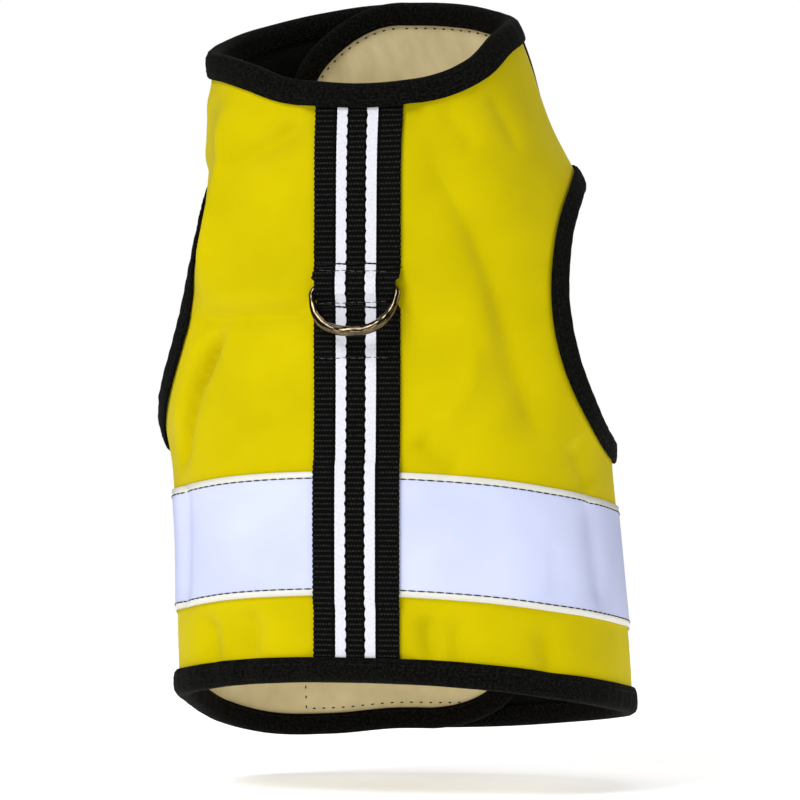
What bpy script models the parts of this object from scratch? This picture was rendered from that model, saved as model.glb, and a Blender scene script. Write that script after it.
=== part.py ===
import math

import bpy
import numpy as np
from mathutils import Vector
from mathutils.geometry import delaunay_2d_cdt

for stale in list(bpy.data.objects):
    bpy.data.objects.remove(stale, do_unlink=True)

# Sizes are millimetres and degrees; the mesh is written in metres.
# Angle 0 is the spine at -Y, +90 is the wearer's right at +X, 180 the belly.
MM = 0.001

FORM_ROWS = [
    # height, half_width, back_depth, front_depth, squareness, shift_x, shift_y, turn
    (-78.0, 65.7, 52.5, 52.0, 2.45,   0.4,   0.5,  0.0),
    (-50.0, 65.2, 52.5, 52.0, 2.45,  -0.5,   0.3,  0.5),
    (-25.0, 64.4, 52.3, 51.5, 2.45,  -1.8,   0.1,  1.9),
    (0.0,   63.0, 52.0, 50.5, 2.50,  -3.1,  -0.2,  3.3),
    (25.0,  61.0, 51.5, 48.5, 2.55,  -3.4,  -0.7,  3.8),
    (50.0,  58.2, 50.3, 45.0, 2.60,  -3.3,  -1.8,  3.8),
    (75.0,  54.2, 48.0, 41.0, 2.60,  -3.6,  -3.6,  4.2),
    (97.0,  50.0, 44.0, 37.0, 2.50,  -4.6,  -6.8,  5.8),
    (110.0, 47.4, 41.0, 34.5, 2.45,  -5.8,  -9.0,  8.0),
    (127.0, 45.0, 37.0, 31.0, 2.40,  -8.2, -12.5, 11.7),
    (145.0, 41.0, 34.5, 28.0, 2.40, -11.8, -14.5, 15.5),
]
NECK_EDGE = [  # angle, height
    (-180, 142.0), (-160, 141.0), (-140, 138.6), (-120, 134.6), (-100, 130.0), (-80, 126.0), (-60, 123.6),
    (-45, 120.4), (-30, 116.5), (-15, 115.2), (0, 114.5), (15, 115.1), (30, 117.1), (45, 122.0),
    (60, 129.0), (80, 133.5), (100, 136.0), (120, 140.0), (140, 141.5), (160, 141.9),
]
HEM_EDGE = [  # angle, height
    (-180, -76.4), (-160, -76.6), (-140, -78.2), (-120, -77.5), (-105, -73.5), (-90, -68.0), (-75, -64.0),
    (-60, -62.0), (-40, -59.0), (-20, -57.6), (0, -57.4), (20, -57.9), (40, -59.6), (60, -62.8),
    (80, -66.1), (100, -68.6), (120, -71.2), (140, -73.6), (160, -75.5),
]
BULGES = [  # angle, height, reach_angle, reach_height, amount
    (-75, 16, 28, 22, 1.6),
    (-78, 74, 24, 26, -1.4),
    (85, 90, 26, 12, 1.6),
]
FRONT_SQUARENESS = 0.6      # share of the back's squareness kept in front

HOLE = {"angle": 104.0, "height": 48.8, "half_angle": 37.9, "half_height": 36.7}    # to the bound edge
FLARE = {"left": 4.5, "right": 3.2, "grow_angle": 6.8, "grow_height": 7.3, "reach": 1.3, "edge": 0.84,
         "most": 1.15, "far_from": 150.0, "far_over": 60.0,
         "left_top": 85.0, "left_over": 60.0, "right_foot": -2.0, "right_over": 40.0}

LAP = {"shift": 3.0, "angle_from": 100.0, "angle_over": 34.0, "height_from": 20.0, "height_over": 66.0,
       "tip": 0.3, "tip_from": 200.0, "tip_over": 24.0}     # the end of the neck wing lies a little deeper

FRONT_EDGE_ANGLE = -214.0   # free edge of the left front
BELLY_END_ANGLE = 197.0     # free end of the right belly wing
WING = {"start_angle": 167.0, "reach_angle": 67.0}
CORNER = {"front_hem": 36.0, "belly_hem": 13.0, "belly_top": 15.0, "neck_front": 12.0}

CLOTH_INSET = 1.35          # cut edge inside the bound edge
TRIM_WIDTH = 7.3
TRIM_LINE = 7.9             # row of panel points just past the trim
TRIM_STEP = 7.4
TRIM_GAP = 0.3
GRID = 10.5
PATTERN_SCALE = 0.95        # pattern mm for one degree

SHELL = (0.10, 1.10)        # low and high side, lift from the middle surface
LINING = (-1.20, -0.20)
OUTER_PATCH = (1.45, 2.45)
INNER_PATCH = (-2.60, -1.60)
TRIM_PROFILE = [            # inset, lift, goes_over_strap
    (7.3, 1.55, 1), (7.3, 2.55, 1), (1.0, 2.55, 1), (0.0, 1.20, 0), (0.0, -1.30, 0),
    (1.0, -2.70, 0), (7.3, -2.70, 0), (7.3, -1.70, 0), (1.0, -1.70, 0), (1.0, 1.55, 1),
]
TRIM_CAP = ((9, 0, 1, 2), (9, 2, 3), (9, 3, 4, 8), (8, 4, 5), (8, 5, 6, 7))     # rows of the profile closing an end

TAPE = {"low": 25.0, "high": 60.6, "from_angle": -133.5, "to_angle": 186.0}     # heights above the hem edge
PATCHES = [
    # name, from_angle, to_angle, follows, low, high, side
    ("hook_neck", 98.0, 183.0, "neck", -33.0, -8.9, "outer"),
    ("loop_neck", -196.0, -108.0, "neck", -33.0, -8.8, "inner"),
    ("hook_belly", -184.0, -137.5, "hem", 9.6, 52.0, "outer"),
    ("loop_belly", 126.0, 186.0, "hem", 9.0, 52.0, "inner"),
]

STRAP = {"half": 12.5, "narrow": 10.6, "thick": 1.15, "lift": 1.45, "over_tape": 2.85, "end_inset": 1.9, "step": 8.0,
         "clear": 13.2, "ramp": 17.0, "trim_rise": 1.45}
RING = {"height": 56.3, "wire": 1.15, "half": 12.65, "reach": 14.0, "lift": 2.75, "tilt": 22.0, "power": 2.4,
        "corner": 2.2, "around": 10, "along": 26}
TUNNEL = [  # offset from the bar, rise_share, narrow_share
    (-9.0, 0.0, 0.0), (-7.0, 0.0, 1.0), (-4.6, 0.34, 1.0), (-2.1, 1.0, 1.0), (0.0, 1.0, 1.0), (2.1, 1.0, 1.0),
    (4.6, 0.34, 1.0), (7.0, 0.0, 1.0), (9.0, 0.0, 0.0),
]
TUNNEL_RISE = 2.85


def smooth(t):
    t = np.clip(t, 0.0, 1.0)
    return t * t * (3.0 - 2.0 * t)


def curve(xs, ys, x):
    xs, ys = np.asarray(xs, float), np.asarray(ys, float)
    slope = np.gradient(ys, xs)
    x = np.clip(x, xs[0], xs[-1])
    i = np.clip(np.searchsorted(xs, x, side="right") - 1, 0, len(xs) - 2)
    h = xs[i + 1] - xs[i]
    t = (x - xs[i]) / h
    return ((2 * t**3 - 3 * t**2 + 1) * ys[i] + (t**3 - 2 * t**2 + t) * h * slope[i]
            + (3 * t**2 - 2 * t**3) * ys[i + 1] + (t**3 - t**2) * h * slope[i + 1])


def wrap(angle):
    return (np.asarray(angle, float) + 180.0) % 360.0 - 180.0


def round_edge(rows, angle):
    turns = [(a + 360.0 * k, v) for k in (-1, 0, 1) for a, v in rows]
    return curve([a for a, v in turns], [v for a, v in turns], wrap(angle))


def neck(angle):
    return round_edge(NECK_EDGE, angle)


def hem(angle):
    return round_edge(HEM_EDGE, angle)


def lap_shift(angle, z):
    side = smooth((np.abs(angle) - LAP["angle_from"]) / LAP["angle_over"])
    side = side + LAP["tip"] * smooth((angle - LAP["tip_from"]) / LAP["tip_over"])
    level = 2.0 * smooth((z - LAP["height_from"]) / LAP["height_over"]) - 1.0
    return -np.sign(angle) * LAP["shift"] * side * level


def flare(angle, z):
    left = FLARE["left"] * smooth((FLARE["left_top"] - z) / FLARE["left_over"])
    right = FLARE["right"] * smooth((z - FLARE["right_foot"]) / FLARE["right_over"])
    amount = np.where(angle < 0, left, right)
    across = (np.abs(angle) - HOLE["angle"]) / (HOLE["half_angle"] + FLARE["grow_angle"])
    up = (z - HOLE["height"]) / (HOLE["half_height"] + FLARE["grow_height"])
    t = (FLARE["reach"] - np.hypot(across, up)) / (FLARE["reach"] - FLARE["edge"])
    near = smooth((FLARE["far_from"] - np.abs(angle)) / FLARE["far_over"])
    return amount * near * np.clip(t, 0.0, FLARE["most"]) ** 2


def form(angle, z):
    """Points of the middle surface, the lap of the front laid in."""
    angle, z = np.broadcast_arrays(np.asarray(angle, float), np.asarray(z, float))
    heights = [row[0] for row in FORM_ROWS]
    half, back, front, square, shift_x, shift_y, turn = (
        curve(heights, [row[k] for row in FORM_ROWS], z) for k in range(1, 8))
    wrapped = wrap(angle)
    theta = np.radians(angle + turn * np.cos(np.radians(wrapped / 2.0)) ** 2)
    s, c = np.sin(theta), np.cos(theta)
    depth = np.where(c >= 0, back, front)
    power = np.where(c >= 0, square, 2.0 + FRONT_SQUARENESS * (square - 2.0))
    r = (np.abs(s / half) ** power + np.abs(c / depth) ** power) ** (-1.0 / power)
    for at, height, reach_angle, reach_height, amount in BULGES:
        r = r + amount * np.exp(-((wrapped - at) / reach_angle) ** 2 - ((z - height) / reach_height) ** 2)
    r = r + flare(wrapped, z) + lap_shift(angle, z)
    return np.stack([shift_x + r * s, shift_y - r * c, z], axis=-1)


SMALL = 0.4


def frame(angle, z):
    along = (form(angle + SMALL, z) - form(angle - SMALL, z)) / (2 * SMALL)
    up = (form(angle, z + SMALL) - form(angle, z - SMALL)) / (2 * SMALL)
    normal = np.cross(along, up)
    normal /= np.linalg.norm(normal, axis=-1, keepdims=True)
    return along, up, normal


def surface(angle, z, lift):
    angle, z, lift = np.broadcast_arrays(*(np.asarray(v, float) for v in (angle, z, lift)))
    return form(angle, z) + frame(angle, z)[2] * lift[..., None]


def step_in(spots, tangents, inset):
    """Surface coordinates a distance to the left of a line on the surface."""
    along, up, normal = frame(spots[:, 0], spots[:, 1])
    inward = np.cross(normal, tangents)
    inward /= np.linalg.norm(inward, axis=1, keepdims=True)
    aa, bb, ab = (along * along).sum(1), (up * up).sum(1), (along * up).sum(1)
    ra, rb = (inward * along).sum(1), (inward * up).sum(1)
    det = aa * bb - ab * ab
    move = np.stack([(ra * bb - rb * ab) / det, (rb * aa - ra * ab) / det], axis=1)
    return spots + move * np.asarray(inset, float).reshape(-1, 1)


def lengths(spots):
    p = form(spots[:, 0], spots[:, 1])
    return np.concatenate([[0.0], np.cumsum(np.linalg.norm(np.diff(p, axis=0), axis=1))])


def resample(spots, step=1.0):
    total = lengths(spots)
    count = max(2, int(round(total[-1] / step)) + 1)
    at = np.linspace(0.0, total[-1], count)
    return np.stack([np.interp(at, total, spots[:, k]) for k in (0, 1)], axis=1)


def joined(runs, corners):
    """One closed line through the runs; a corner size rounds the joint after its run."""
    runs = [resample(np.asarray(run, float)) for run in runs]
    out = []
    for k, run in enumerate(runs):
        before, after = int(round(corners[k - 1])), int(round(corners[k]))
        out.append(run[before:len(run) - after] if after else run[before:-1])
        if after:
            a, b, c = run[-1 - after], run[-1], runs[(k + 1) % len(runs)][after]
            t = np.linspace(0.0, 1.0, 2 * after)[1:-1, None]
            out.append((1 - t) ** 2 * a + 2 * t * (1 - t) * b + t * t * c)
    return np.concatenate(out)


def arc(centre, half_angle, half_height, start, end):
    t = np.radians(np.linspace(start, end, 61))
    return np.stack([centre[0] + half_angle * np.cos(t), centre[1] + half_height * np.sin(t)], axis=1)


def panel_line():
    low, high = HOLE["height"] - HOLE["half_height"], HOLE["height"] + HOLE["half_height"]
    hem_angles = np.arange(FRONT_EDGE_ANGLE, BELLY_END_ANGLE + 0.5, 1.0)
    hem_run = np.stack([hem_angles, hem(hem_angles)], axis=1)
    end_run = np.array([hem_run[-1], (BELLY_END_ANGLE, low)])
    top_run = np.array([end_run[-1], (HOLE["angle"], low)])
    notch = arc((HOLE["angle"], HOLE["height"]), HOLE["half_angle"], HOLE["half_height"], -90.0, -270.0)
    under = np.array([(HOLE["angle"], high), (WING["start_angle"], high)])
    top = float(neck(WING["start_angle"]))
    wing = arc((WING["start_angle"], (high + top) / 2), WING["reach_angle"], (top - high) / 2, -90.0, 90.0)
    neck_angles = np.arange(WING["start_angle"], FRONT_EDGE_ANGLE - 0.5, -1.0)
    neck_run = np.stack([neck_angles, neck(neck_angles)], axis=1)
    heights = np.linspace(neck_run[-1, 1], hem_run[0, 1], 80)
    bow = np.clip(1.0 - ((heights - HOLE["height"]) / HOLE["half_height"]) ** 2, 0.0, 1.0) ** 2
    far = HOLE["angle"] + HOLE["half_angle"] - 360.0
    front_run = np.stack([FRONT_EDGE_ANGLE + (far - FRONT_EDGE_ANGLE) * bow, heights], axis=1)
    return joined([hem_run, end_run, top_run, notch, under, wing, neck_run, front_run],
                  [CORNER["belly_hem"], CORNER["belly_top"], 0, 0, 0, 0, CORNER["neck_front"], CORNER["front_hem"]])


def hole_line():
    ring = arc((-HOLE["angle"], HOLE["height"]), HOLE["half_angle"], HOLE["half_height"], 0.0, -360.0)
    return resample(ring)[:-1]


def tangents_of(spots, closed):
    p = form(spots[:, 0], spots[:, 1])
    if closed:
        t = np.roll(p, -1, axis=0) - np.roll(p, 1, axis=0)
    else:
        t = np.gradient(p, axis=0)
    return t / np.linalg.norm(t, axis=1, keepdims=True)


def stations(spots, tangents, kept):
    """Indices along a fine line, close enough in length and turn, the kept ones always in."""
    p = form(spots[:, 0], spots[:, 1])
    picks, run, turned = [0], 0.0, 0.0
    for i in range(1, len(spots)):
        run += np.linalg.norm(p[i] - p[i - 1])
        turned += math.degrees(math.acos(min(1.0, float(tangents[i] @ tangents[i - 1]))))
        if run >= TRIM_STEP or (turned >= 15.0 and run >= 2.4) or i in kept or i == len(spots) - 1:
            if run < 1.6 and len(picks) > 1 and picks[-1] not in kept:
                picks.pop()
            picks.append(i)
            run, turned = 0.0, 0.0
    return picks


def strap_scale(z):
    return float(np.linalg.norm(frame(np.array([0.0]), np.array([float(z)]))[0]))


def nearest(spots, angle, z):
    return int(np.argmin((spots[:, 0] - angle) ** 2 + (spots[:, 1] - z) ** 2))


def material(name, colour, roughness, metallic=0.0):
    made = bpy.data.materials.new(name)
    made.use_nodes = True
    shader = made.node_tree.nodes["Principled BSDF"]
    shader.inputs["Base Color"].default_value = (*colour, 1.0)
    shader.inputs["Roughness"].default_value = roughness
    shader.inputs["Metallic"].default_value = metallic
    made.diffuse_color = (*colour, 1.0)
    return made


vest = bpy.data.collections.new("cat_vest")
bpy.context.scene.collection.children.link(vest)


def add_solid(name, points, faces, look, flat_angle=40.0):
    mesh = bpy.data.meshes.new(name)
    mesh.from_pydata([tuple(float(v) * MM for v in p) for p in points], [], [tuple(map(int, f)) for f in faces])
    mesh.validate()
    mesh.materials.append(look)
    mesh.polygons.foreach_set("use_smooth", [True] * len(mesh.polygons))
    mesh.set_sharp_from_angle(angle=math.radians(flat_angle))
    solid = bpy.data.objects.new(name, mesh)
    vest.objects.link(solid)
    return solid


def thick_sheet(name, spots, triangles, low, high, look):
    """Closed slab over some triangles of the pattern."""
    used = sorted({int(v) for t in triangles for v in t})
    place = {v: k for k, v in enumerate(used)}
    flat = spots[used]
    points = np.concatenate([surface(flat[:, 0], flat[:, 1], high), surface(flat[:, 0], flat[:, 1], low)])
    count = len(used)
    sides = {}
    faces = []
    for t in triangles:
        a, b, c = (place[int(v)] for v in t)
        faces += [(a, b, c), (c + count, b + count, a + count)]
        for e in ((a, b), (b, c), (c, a)):
            sides[e] = sides.get(e, 0) + 1
    for a, b in sides:
        if (b, a) not in sides:
            faces.append((b, a, a + count, b + count))
    return add_solid(name, points, faces, look)


def inside(polygon, spots):
    x, y = spots[:, 0], spots[:, 1]
    hit = np.zeros(len(spots), bool)
    for (x1, y1), (x2, y2) in zip(polygon, np.roll(polygon, -1, axis=0)):
        if y1 != y2:
            hit ^= ((y1 > y) != (y2 > y)) & (x < x1 + (y - y1) * (x2 - x1) / (y2 - y1))
    return hit


def band(from_angle, to_angle, edge, low, high, step=8.0):
    count = int(math.ceil((to_angle - from_angle) / step)) + 1
    angles = np.linspace(from_angle, to_angle, count)
    lower = np.stack([angles, edge(angles) + low], axis=1)
    upper = np.stack([angles, edge(angles) + high], axis=1)[::-1]
    rise = max(1, int(round((high - low) / GRID)))
    share = np.linspace(0.0, 1.0, rise + 1)[1:-1, None]
    right = lower[-1] + (upper[0] - lower[-1]) * share
    left = upper[-1] + (lower[0] - upper[-1]) * share
    return np.concatenate([lower, right, upper, left])


def triangulate(loops, lines):
    """Pattern points and triangles: inside the first loop, outside the second."""
    scale = np.array([PATTERN_SCALE, 1.0])
    fixed = [loop * scale for loop in loops] + [line * scale for line in lines]
    outline, opening = fixed[0], fixed[1]
    low, high = outline.min(axis=0), outline.max(axis=0)
    rows = []
    for j, y in enumerate(np.arange(low[1], high[1], GRID * math.sqrt(3) / 2)):
        rows += [(x, y) for x in np.arange(low[0] + GRID / 2 * (j % 2), high[0], GRID)]
    grid = np.array(rows)
    keep = inside(outline, grid) & ~inside(opening, grid)
    for line in fixed:
        for a, b in zip(line, np.roll(line, -1, axis=0)):
            ab = b - a
            share = np.clip(((grid - a) @ ab) / max(float(ab @ ab), 1e-9), 0.0, 1.0)
            keep &= np.linalg.norm(grid - (a + share[:, None] * ab), axis=1) > GRID * 0.45
    verts, edges = [], []
    for line in fixed:
        start, count = len(verts), len(line)
        verts += [Vector(p) for p in line]
        edges += [(start + k, start + (k + 1) % count) for k in range(count)]
    verts += [Vector(p) for p in grid[keep]]
    out, _, faces, _, _, _ = delaunay_2d_cdt(verts, edges, [], 0, 1e-4)
    flat = np.array([tuple(v) for v in out])
    tris = np.array([f for f in faces])
    centre = flat[tris].mean(axis=1)
    tris = tris[inside(outline, centre) & ~inside(opening, centre)]
    a, b, c = (flat[tris[:, k]] for k in range(3))
    area = (b[:, 0] - a[:, 0]) * (c[:, 1] - a[:, 1]) - (b[:, 1] - a[:, 1]) * (c[:, 0] - a[:, 0])
    tris[area < 0] = tris[area < 0][:, ::-1]
    return flat / scale, tris


def add_trim(name, spots, tangents, closed, look):
    """Bound edge: one folded strip swept along a line of stations."""
    ride = spots[:, 0] * np.array([strap_scale(z) for z in spots[:, 1]])
    over = 1.0 - smooth((np.abs(ride) - STRAP["clear"]) / (STRAP["ramp"] - STRAP["clear"]))
    columns = []
    for inset, lift, rises in TRIM_PROFILE:
        at = step_in(spots, tangents, np.full(len(spots), inset))
        columns.append(surface(at[:, 0], at[:, 1], lift + rises * STRAP["trim_rise"] * over))
    points = np.stack(columns, axis=1)
    rows, size = len(spots), len(TRIM_PROFILE)
    faces = []
    for i in range(rows if closed else rows - 1):
        j = (i + 1) % rows
        for k in range(size):
            n = (k + 1) % size
            faces.append((i * size + k, i * size + n, j * size + n, j * size + k))
    if not closed:
        last = (rows - 1) * size
        faces += [tuple(reversed(f)) for f in TRIM_CAP] + [tuple(last + v for v in f) for f in TRIM_CAP]
    return add_solid(name, points.reshape(-1, 3), faces, look)


polyester_shell = material("shell_polyester", (0.77, 0.64, 0.004), 0.75)
cream_lining = material("lining_jersey", (0.60, 0.46, 0.28), 0.9)
black_trim = material("trim_binding", (0.009, 0.009, 0.008), 0.95)
silver_tape = material("reflective_tape", (0.72, 0.76, 0.95), 0.45)
black_webbing = material("webbing_polyester", (0.006, 0.006, 0.005), 0.8)
black_hook = material("hook_and_loop", (0.010, 0.010, 0.010), 0.95)
dark_brass = material("ring_brass", (0.30, 0.25, 0.19), 0.3, 1.0)

outer_line = panel_line()
outer_tangents = tangents_of(outer_line, True)
opening_line = hole_line()
opening_tangents = tangents_of(opening_line, True)

breaks = [
    # name, angle and height where the strip starts
    ("trim_hem", FRONT_EDGE_ANGLE, -44.0),
    ("trim_right_side", BELLY_END_ANGLE, -55.0),
    ("trim_neck", WING["start_angle"] - 2.0, float(neck(WING["start_angle"] - 2.0))),
    ("trim_front", FRONT_EDGE_ANGLE, 122.0),
]
starts = [nearest(outer_line, angle, z) for _, angle, z in breaks]
strap_kept = []
for rides, edge in ((STRAP["clear"], hem), (STRAP["ramp"], hem), (STRAP["clear"], neck), (STRAP["ramp"], neck)):
    for side in (-1.0, 1.0):
        angle = side * rides / strap_scale(edge(0.0))
        strap_kept.append(nearest(outer_line, angle, float(edge(angle))))

cut_spots = []
line_spots = []
for k, (name, _, _) in enumerate(breaks):
    first, last = starts[k], starts[(k + 1) % len(starts)]
    index = np.arange(first, last + 1 if last > first else last + 1 + len(outer_line)) % len(outer_line)
    spots, tangents = outer_line[index], outer_tangents[index]
    kept = [int(np.argmax(index == v)) for v in strap_kept if v in index]
    picks = stations(spots, tangents, kept)
    picked, ways = spots[picks].copy(), tangents[picks]
    cut_spots.append(step_in(picked, ways, np.full(len(picks), CLOTH_INSET))[:-1])
    line_spots.append(step_in(picked, ways, np.full(len(picks), TRIM_LINE))[:-1])
    for end, other in ((0, 1), (-1, -2)):
        gap = lengths(np.array([picked[end], picked[other]]))[-1]
        picked[end] += (picked[other] - picked[end]) * (TRIM_GAP / 2 / gap)
    add_trim(name, picked, ways, False, black_trim)

picks = stations(opening_line, opening_tangents, [])
if np.linalg.norm(form(*opening_line[picks[-1]]) - form(*opening_line[0])) < 4.0:
    picks = picks[:-1]
rim, rim_ways = opening_line[picks], opening_tangents[picks]
add_trim("trim_armhole_left", rim, rim_ways, True, black_trim)
hole_cut = step_in(rim, rim_ways, np.full(len(rim), CLOTH_INSET))
hole_row = step_in(rim, rim_ways, np.full(len(rim), TRIM_LINE))

tape_band = band(TAPE["from_angle"], TAPE["to_angle"], hem, TAPE["low"], TAPE["high"])
patch_bands = {name: band(a, b, neck if follows == "neck" else hem, low, high)
               for name, a, b, follows, low, high, _ in PATCHES}
pattern, triangles = triangulate([np.concatenate(cut_spots), hole_cut],
                                 [np.concatenate(line_spots), hole_row, tape_band] + list(patch_bands.values()))
middles = pattern[triangles].mean(axis=1)

thick_sheet("shell", pattern, triangles, *SHELL, polyester_shell)
thick_sheet("lining", pattern, triangles, *LINING, cream_lining)
thick_sheet("reflective_tape", pattern, triangles[inside(tape_band, middles)], *OUTER_PATCH, silver_tape)
for name, _, _, _, _, _, side in PATCHES:
    low, high = OUTER_PATCH if side == "outer" else INNER_PATCH
    thick_sheet(name, pattern, triangles[inside(patch_bands[name], middles)], low, high, black_hook)


def bar_place():
    spot = surface(0.0, RING["height"], RING["lift"])
    return np.array([0.0, float(spot[1]), RING["height"]])


def add_strap(look):
    tape_top, tape_foot = float(hem(0.0)) + TAPE["high"], float(hem(0.0)) + TAPE["low"]
    top, foot = float(neck(0.0)) - STRAP["end_inset"], float(hem(0.0)) + STRAP["end_inset"]
    tunnel = [RING["height"] + row[0] for row in TUNNEL]
    marks = sorted([foot, tape_foot - 4.5, tape_foot - 1.5, tape_top + 1.5, tape_top + 4.5, top] + tunnel)
    rows = [marks[0]]
    for mark in marks[1:]:
        count = max(1, int(math.ceil((mark - rows[-1]) / STRAP["step"])))
        rows += list(np.linspace(rows[-1], mark, count + 1)[1:])
    rows = np.array(rows)
    rise = np.interp(rows, tunnel, [row[1] for row in TUNNEL], left=0.0, right=0.0)
    pinch = np.interp(rows, tunnel, [row[2] for row in TUNNEL], left=0.0, right=0.0)
    over = np.interp(rows, [tape_foot - 4.5, tape_foot - 1.5, tape_top + 1.5, tape_top + 4.5], [0.0, 1.0, 1.0, 0.0])
    lift = STRAP["lift"] + (STRAP["over_tape"] - STRAP["lift"]) * over + TUNNEL_RISE * rise
    half = STRAP["half"] + (STRAP["narrow"] - STRAP["half"]) * pinch
    across = np.linspace(-1.0, 1.0, 5)
    bar = bar_place()
    sheets = []
    for extra in (0.0, STRAP["thick"]):
        grid = []
        for z, width, raise_by, share in zip(rows, half, lift, rise):
            line = surface(across * width / strap_scale(z), z, raise_by + extra)
            if share == 1.0:
                line[:, 1] = np.minimum(line[:, 1], bar[1] - RING["wire"] - 0.35 - extra)
            grid.append(line)
        sheets.append(np.array(grid))
    count, wide = len(rows), len(across)
    points = np.concatenate([sheets[1].reshape(-1, 3), sheets[0].reshape(-1, 3)])
    low = count * wide
    faces = []
    for i in range(count - 1):
        for j in range(wide - 1):
            a, b, c, d = i * wide + j, i * wide + j + 1, (i + 1) * wide + j + 1, (i + 1) * wide + j
            faces += [(a, b, c, d), (low + d, low + c, low + b, low + a)]
        a, b = i * wide, (i + 1) * wide
        faces += [(a, b, low + b, low + a), (b + wide - 1, a + wide - 1, low + a + wide - 1, low + b + wide - 1)]
    for j in range(wide - 1):
        a, b = j, (count - 1) * wide + j
        faces += [(a + 1, a, low + a, low + a + 1), (b, b + 1, low + b + 1, low + b)]
    return add_solid("webbing", points, faces, look)


def add_ring(look):
    """Round wire bent to a D, its straight side on the joint axis."""
    half, reach, power, corner = RING["half"], RING["reach"], RING["power"], RING["corner"]
    t = np.linspace(0.0, math.pi, RING["along"] - 5)[1:-1]
    bow = np.stack([-half * np.sign(np.cos(t)) * np.abs(np.cos(t)) ** (2 / power),
                    reach * np.abs(np.sin(t)) ** (2 / power)], axis=1)
    bow = bow[bow[:, 1] > corner]
    q = np.radians(np.array([90.0, 60.0, 30.0, 0.0]))
    turn_in = np.stack([half - corner + corner * np.sin(q), corner - corner * np.cos(q)], axis=1)
    turn_out = turn_in[::-1] * np.array([-1.0, 1.0])
    path = np.concatenate([bow, turn_in, turn_out])
    tilt = math.radians(RING["tilt"])
    down = np.array([0.0, -math.sin(tilt), -math.cos(tilt)])
    side = np.array([1.0, 0.0, 0.0])
    face = np.cross(down, side)
    count, around = len(path), RING["around"]
    centres = path[:, :1] * side + path[:, 1:] * down
    ways = np.roll(centres, -1, axis=0) - np.roll(centres, 1, axis=0)
    ways /= np.linalg.norm(ways, axis=1, keepdims=True)
    outs = np.cross(ways, face)
    p = np.radians(np.arange(around) * 360.0 / around)
    points = (centres[:, None, :] + RING["wire"] * (np.cos(p)[None, :, None] * outs[:, None, :]
                                                    + np.sin(p)[None, :, None] * face[None, None, :]))
    faces = []
    for i in range(count):
        j = (i + 1) % count
        for k in range(around):
            n = (k + 1) % around
            faces.append((i * around + k, j * around + k, j * around + n, i * around + n))
    ring = add_solid("d_ring", points.reshape(-1, 3), faces, look)
    ring.location = Vector(bar_place() * MM)
    return ring


add_strap(black_webbing)
add_ring(dark_brass)

for solid in vest.objects:
    mesh = solid.data
    volume = 0.0
    for polygon in mesh.polygons:
        corners = [mesh.vertices[v].co for v in polygon.vertices]
        for k in range(1, len(corners) - 1):
            volume += corners[0].dot(corners[k].cross(corners[k + 1])) / 6.0
    if volume < 0:
        mesh.flip_normals()
    print(solid.name, "triangles", sum(len(p.vertices) - 2 for p in mesh.polygons), "volume cm3", round(abs(volume) * 1e6, 2))
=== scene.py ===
import math

import bmesh
import bpy
import numpy as np
from mathutils import Matrix, Vector


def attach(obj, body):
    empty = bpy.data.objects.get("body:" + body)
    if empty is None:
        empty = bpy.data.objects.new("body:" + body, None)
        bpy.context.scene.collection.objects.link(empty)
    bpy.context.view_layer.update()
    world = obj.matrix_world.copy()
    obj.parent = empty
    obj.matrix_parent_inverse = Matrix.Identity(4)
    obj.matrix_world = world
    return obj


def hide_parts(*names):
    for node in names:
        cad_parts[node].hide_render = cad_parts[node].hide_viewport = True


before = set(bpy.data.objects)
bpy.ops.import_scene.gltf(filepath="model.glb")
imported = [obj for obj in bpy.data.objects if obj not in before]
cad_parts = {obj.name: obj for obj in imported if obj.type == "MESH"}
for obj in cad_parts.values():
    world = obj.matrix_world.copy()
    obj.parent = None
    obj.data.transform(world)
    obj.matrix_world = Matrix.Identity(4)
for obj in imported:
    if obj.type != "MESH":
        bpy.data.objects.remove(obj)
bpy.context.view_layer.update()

mm = 0.001      # every size below is in millimetres, every angle in degrees
# Angle 0 is the spine at -Y, +90 the wearer's right, 180 the belly; height is Z.
mmPerDegree = 0.95      # cloth for one degree round the girth

# The form that the solids have: one row for each ring of the body.
bodyRings = [
    # height, halfWidth, backDepth, frontDepth, squareness, shiftX, shiftY, turn
    (-78.0, 65.7, 52.5, 52.0, 2.45, 0.4, 0.5, 0.0),
    (-50.0, 65.2, 52.5, 52.0, 2.45, -0.5, 0.3, 0.5),
    (-25.0, 64.4, 52.3, 51.5, 2.45, -1.8, 0.1, 1.9),
    (0.0, 63.0, 52.0, 50.5, 2.50, -3.1, -0.2, 3.3),
    (25.0, 61.0, 51.5, 48.5, 2.55, -3.4, -0.7, 3.8),
    (50.0, 58.2, 50.3, 45.0, 2.60, -3.3, -1.8, 3.8),
    (75.0, 54.2, 48.0, 41.0, 2.60, -3.6, -3.6, 4.2),
    (97.0, 50.0, 44.0, 37.0, 2.50, -4.6, -6.8, 5.8),
    (110.0, 47.4, 41.0, 34.5, 2.45, -5.8, -9.0, 8.0),
    (127.0, 45.0, 37.0, 31.0, 2.40, -8.2, -12.5, 11.7),
    (145.0, 41.0, 34.5, 28.0, 2.40, -11.8, -14.5, 15.5),
]
neckHeights = [  # angle, height
    (-180, 142.0), (-160, 141.0), (-140, 138.6), (-120, 134.6), (-100, 130.0), (-80, 126.0), (-60, 123.6),
    (-45, 120.4), (-30, 116.5), (-15, 115.2), (0, 114.5), (15, 115.1), (30, 117.1), (45, 122.0),
    (60, 129.0), (80, 133.5), (100, 136.0), (120, 140.0), (140, 141.5), (160, 141.9),
]
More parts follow.
